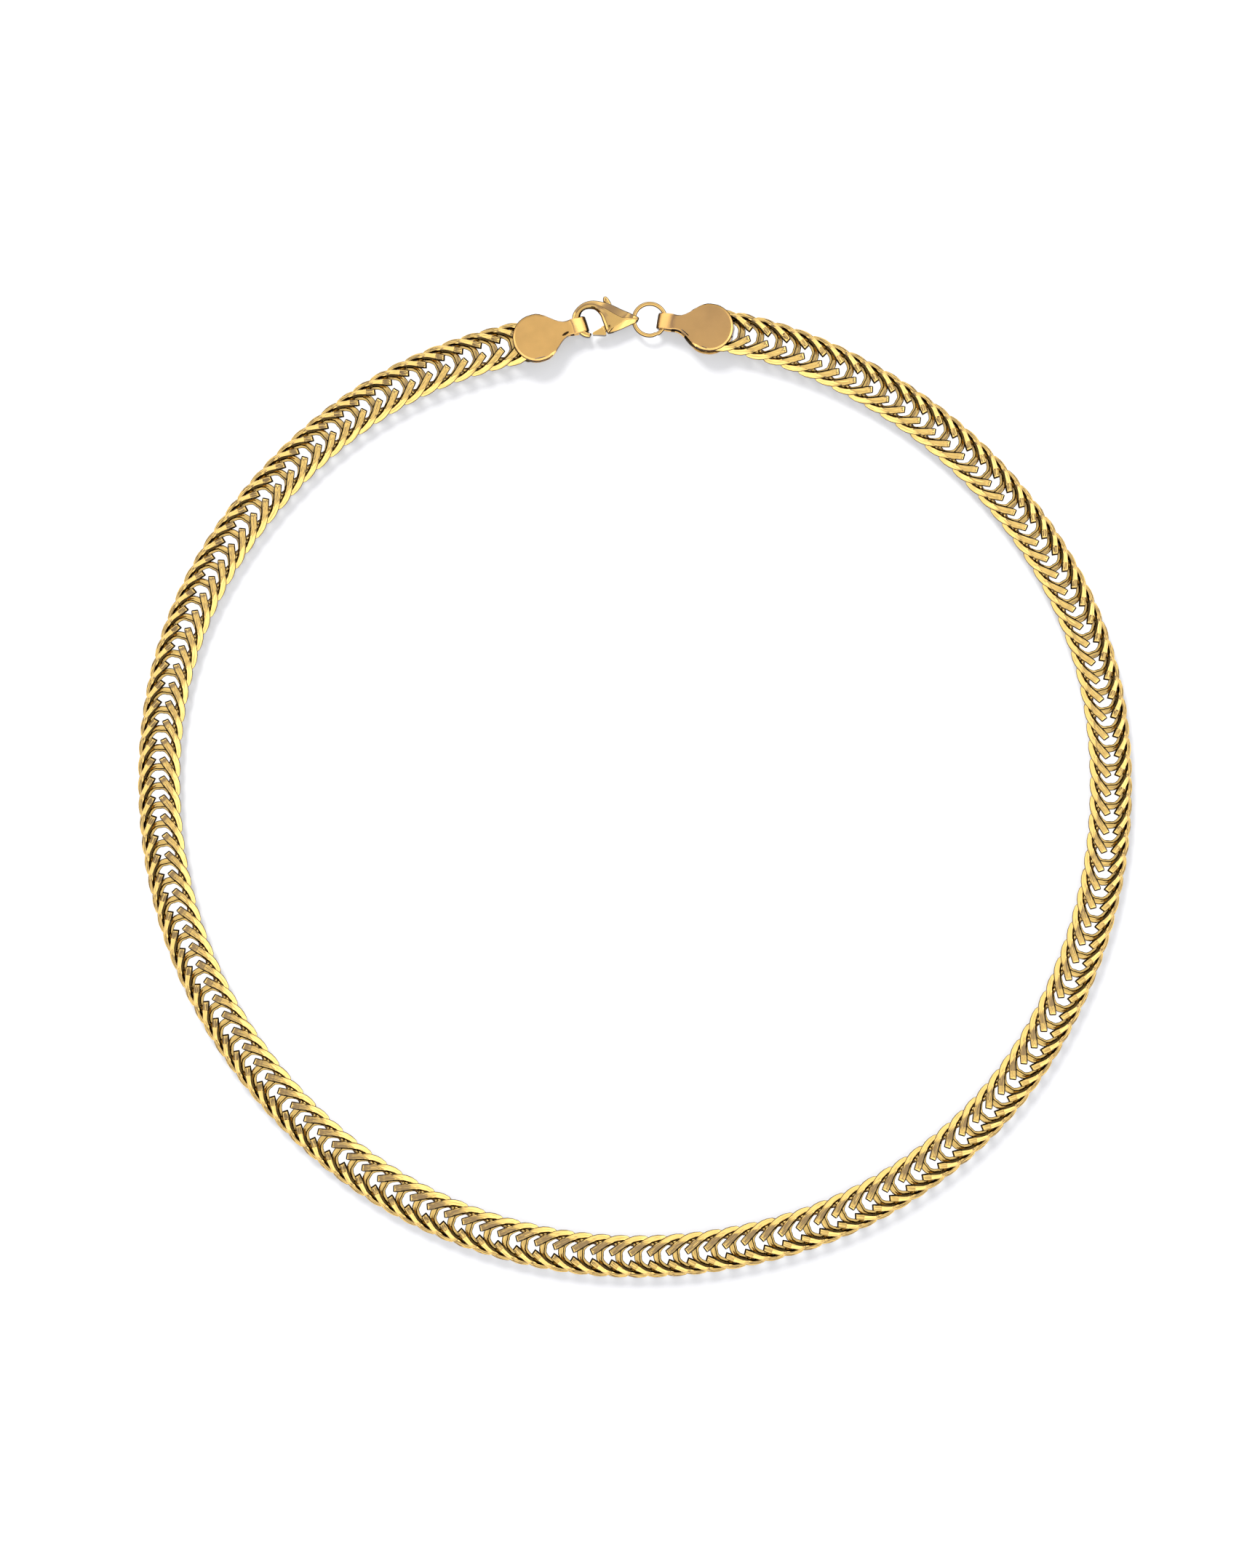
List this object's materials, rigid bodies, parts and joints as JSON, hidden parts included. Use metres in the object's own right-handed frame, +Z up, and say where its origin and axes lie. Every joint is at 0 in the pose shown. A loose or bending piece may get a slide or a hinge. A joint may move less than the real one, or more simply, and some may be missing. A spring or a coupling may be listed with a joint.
{
  "type": "braided chain necklace",
  "caption": "Gold necklace lying flat as a closed loop of wide interlocking V-shaped links, with spade-shaped end caps, a jump ring and a lobster clasp.",
  "frame": {"origin": "on the surface the necklace lies on, under the middle of its box", "axes": "+Z up from the surface, +Y from the middle of the loop to the clasp, +X to the right in the view from above"},
  "size_m": [0.1536, 0.1516, 0.0038],
  "materials": {
    "chain_gold": "polished yellow gold",
    "cap_gold": "polished yellow gold, fine scratches",
    "clasp_gold": "polished yellow gold"
  },
  "bodies": {
    "necklace": {"chain_right": "chain_gold", "chain_left": "chain_gold", "cap_right": "cap_gold", "cap_left": "cap_gold", "jump_ring": "chain_gold", "clasp_body": "clasp_gold", "clasp_pin": "clasp_gold"},
    "lever": {"clasp_lever": "clasp_gold"}
  },
  "joints": [
    {"name": "lever_hinge", "type": "hinge", "parent": "necklace", "child": "lever", "pos_m": [-0.004, 0.071, 0.0015], "axis": [0, 0, -1], "range_deg": [0, 20], "stiffness_Nm_per_rad": 0.002}
  ]
}
